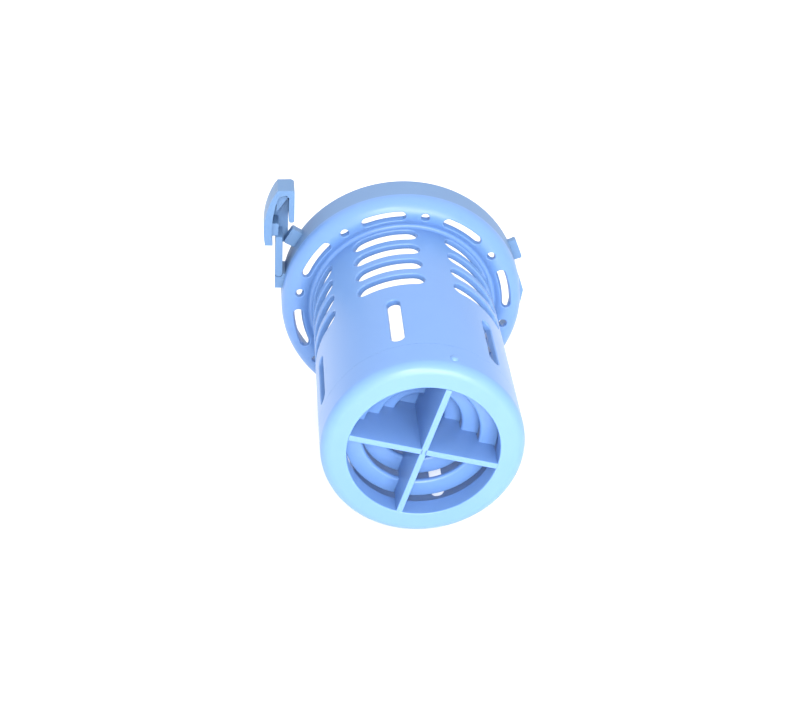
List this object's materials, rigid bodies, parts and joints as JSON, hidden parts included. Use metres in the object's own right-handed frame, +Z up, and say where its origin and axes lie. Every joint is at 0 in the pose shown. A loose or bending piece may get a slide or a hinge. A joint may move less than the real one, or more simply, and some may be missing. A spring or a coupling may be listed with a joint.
{
  "type": "slotted strainer cage",
  "caption": "Open slotted strainer tube of blue plastic with a crossed inlet, a stepped louvre cone, a vented shoulder flange with a skirt, and a spring thumb latch.",
  "frame": {"origin": "centre of the inlet end face, on the axis of the tube", "axes": "+Y runs along the tube from the inlet end to the flange, +Z is up as the part lies on its side, +X is to the right seen from the inlet end"},
  "size_m": [0.0865, 0.0952, 0.0824],
  "materials": {
    "cage_plastic": "satin",
    "skirt_plastic": "fine grain",
    "latch_plastic": "satin"
  },
  "bodies": {
    "cage": {"end_ring": "cage_plastic", "inlet_lip": "cage_plastic", "strainer_tube": "cage_plastic", "shoulder_flange": "cage_plastic", "rim_skirt": "skirt_plastic", "cross_web": "cage_plastic", "louvre_ring_1": "cage_plastic", "louvre_ring_2": "cage_plastic", "louvre_ring_3": "cage_plastic", "louvre_hub": "cage_plastic", "bayonet_lug_1": "latch_plastic", "bayonet_lug_2": "latch_plastic", "rim_cam": "cage_plastic", "latch_stop": "latch_plastic", "latch_root": "latch_plastic", "locating_pip": "cage_plastic"},
    "latch": {"latch_arm": "latch_plastic", "arm_tie": "latch_plastic", "thumb_pad": "latch_plastic", "thumb_web": "latch_plastic", "thumb_gusset": "latch_plastic"}
  },
  "joints": [
    {"name": "latch_flex", "type": "hinge", "parent": "cage", "child": "latch", "pos_m": [-0.04075, 0.0909, 0.0096], "axis": [0, 1, 0], "range_deg": [-5, 1], "stiffness_Nm_per_rad": 0.2}
  ]
}
